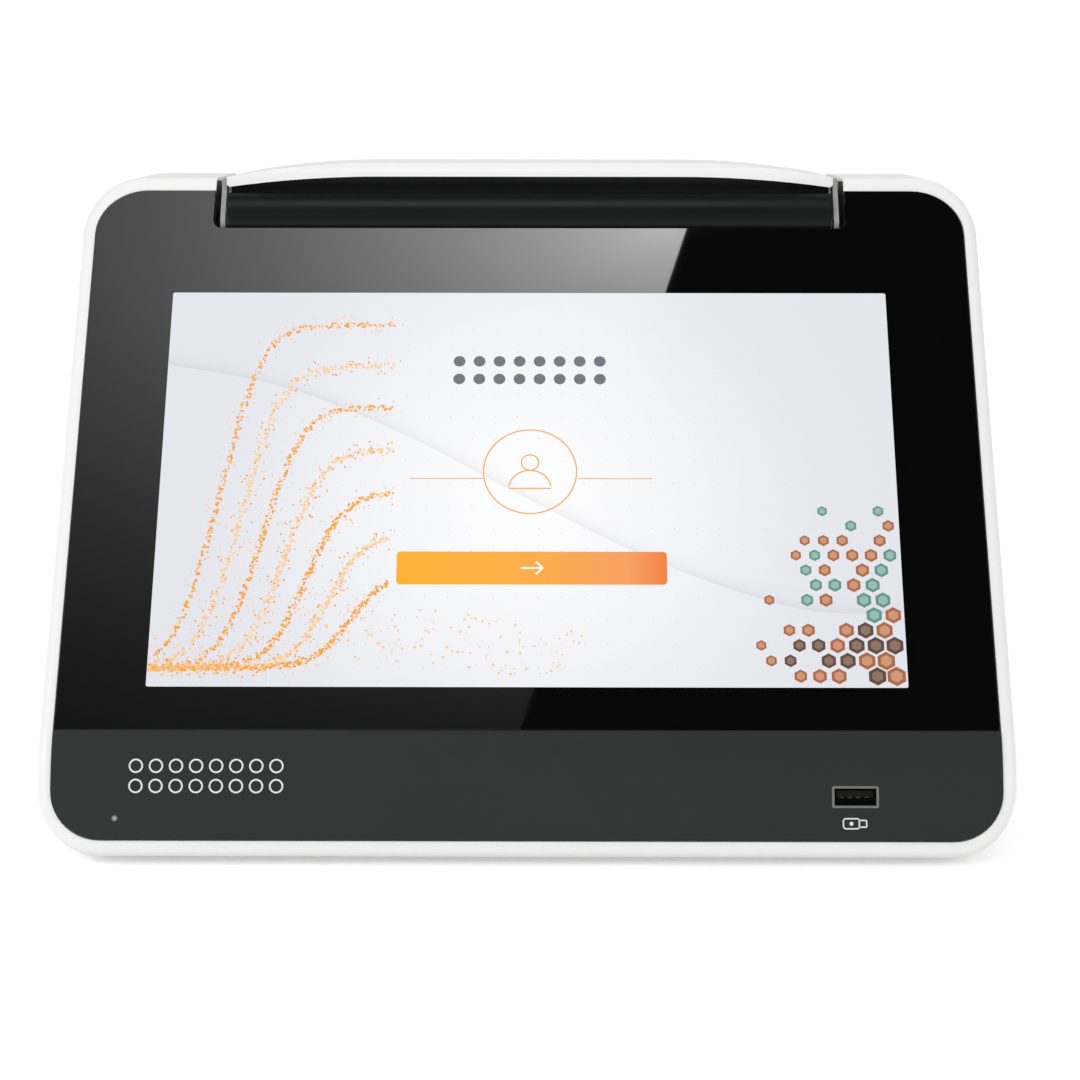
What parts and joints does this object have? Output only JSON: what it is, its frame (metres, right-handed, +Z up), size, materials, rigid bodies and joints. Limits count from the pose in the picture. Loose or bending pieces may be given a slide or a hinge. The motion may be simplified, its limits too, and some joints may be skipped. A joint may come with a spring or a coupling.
{
  "type": "real-time pcr machine",
  "caption": "Bench-top thermal cycler with optical reading: a wedge case with a large sloping touch screen and a hinged arched lid over a heated sample block.",
  "frame": {"origin": "on the table under the middle of the case, the bottom centre of its box", "axes": "+Z up; the screen faces -Y; +X is to the right of someone facing the screen"},
  "size_m": [0.2936, 0.226, 0.1742],
  "materials": {
    "white_shell": "satin moulded plastic",
    "screen_glass": "polished glass, black behind",
    "chin": "fine matte, dark grey",
    "black_trim": "satin black",
    "grey_plastic": "matte",
    "deck_grey": "fine texture",
    "aluminium": "machined or anodised",
    "steel": "zinc plated",
    "chrome": "nickel plated",
    "rubber": "matte",
    "silicone": "matte",
    "board": "solder mask",
    "ceramic": "matte ceramic",
    "bronze": "sintered",
    "brass": "bright",
    "clear": "clear moulded",
    "heater": "silicone film"
  },
  "bodies": {
    "case": {"air_duct": "steel", "base_tray": "grey_plastic", "block_collar": "black_trim", "chassis": "steel", "chin_panel": "chin", "deck_screws": "steel", "deck_seal": "silicone", "display_bracket": "steel", "display_panel": "black_trim", "display_ribbon": "ceramic", "fan_frame": "black_trim", "feet": "rubber", "front_glass": "screen_glass", "guide_plate": "black_trim", "heat_sink": "aluminium", "hinge_brackets": "steel", "hinge_pins": "steel", "housing_screws": "steel", "inlet_pins": "brass", "inner_screws": "steel", "lid_keepers": "steel", "light_guides": "clear", "main_board": "board", "main_housing": "white_shell", "network_socket": "chrome", "peltier_modules": "ceramic", "power_inlet": "black_trim", "power_supply": "steel", "rear_panel": "grey_plastic", "sample_block": "aluminium", "scan_belt": "rubber", "scan_brackets": "steel", "scan_motor": "steel", "scan_rods": "chrome", "small_boards": "board", "status_light": "clear", "switch_body": "black_trim", "thermal_pads": "silicone", "usb_shell": "chrome", "usb_tongue": "black_trim", "well_deck": "deck_grey"},
    "lid": {"lid_shell": "white_shell", "lid_grip": "black_trim", "lid_liner": "deck_grey", "lid_magnets": "chrome", "lid_screws": "steel", "hot_lid_frame": "steel", "hot_lid_pins": "steel", "hot_lid_springs": "steel", "hinge_inserts": "steel"},
    "hot_plate": {"hot_lid_plate": "aluminium", "hot_lid_heater": "heater"},
    "fan_rotor": {"fan_rotor": "black_trim"},
    "scan_head": {"scan_carriage": "black_trim", "scan_bushes": "bronze", "scan_lenses": "clear", "scan_lamp_board": "board"},
    "drive_pulley": {"drive_pulley": "aluminium"},
    "idler_pulley": {"idler_pulley": "aluminium"},
    "power_rocker": {"power_rocker": "black_trim"}
  },
  "joints": [
    {"name": "lid_hinge", "type": "hinge", "parent": "case", "child": "lid", "pos_m": [0, 0.10171, 0.14929], "axis": [-1, 0, 0], "range_deg": [0, 90]},
    {"name": "hot_plate_press", "type": "slide", "parent": "lid", "child": "hot_plate", "axis": [0, 0, 1], "range_m": [0, 0.002], "stiffness_N_per_m": 6000, "springref_m": -0.002, "deforming": ["hot_lid_springs"]},
    {"name": "fan_spin", "type": "hinge", "parent": "case", "child": "fan_rotor", "pos_m": [0, 0.1, 0.092], "axis": [0, 1, 0], "continuous": true},
    {"name": "carriage_slide", "type": "slide", "parent": "case", "child": "scan_head", "axis": [1, 0, 0], "range_m": [0, 0.088]},
    {"name": "drive_pulley_spin", "type": "hinge", "parent": "case", "child": "drive_pulley", "pos_m": [-0.058, 0.032, 0.101], "axis": [0, 0, -1], "range_deg": [0, 722]},
    {"name": "idler_pulley_spin", "type": "hinge", "parent": "case", "child": "idler_pulley", "pos_m": [0.058, 0.032, 0.101], "axis": [0, 0, -1], "range_deg": [0, 722]},
    {"name": "power_switch", "type": "hinge", "parent": "case", "child": "power_rocker", "pos_m": [-0.095, 0.1084, 0.088], "axis": [-1, 0, 0], "range_deg": [0, 20]}
  ],
  "couplings": [
    {"joint": "drive_pulley_spin", "follows": "carriage_slide", "rad_per_m": 142.86},
    {"joint": "idler_pulley_spin", "follows": "carriage_slide", "rad_per_m": 142.86}
  ]
}
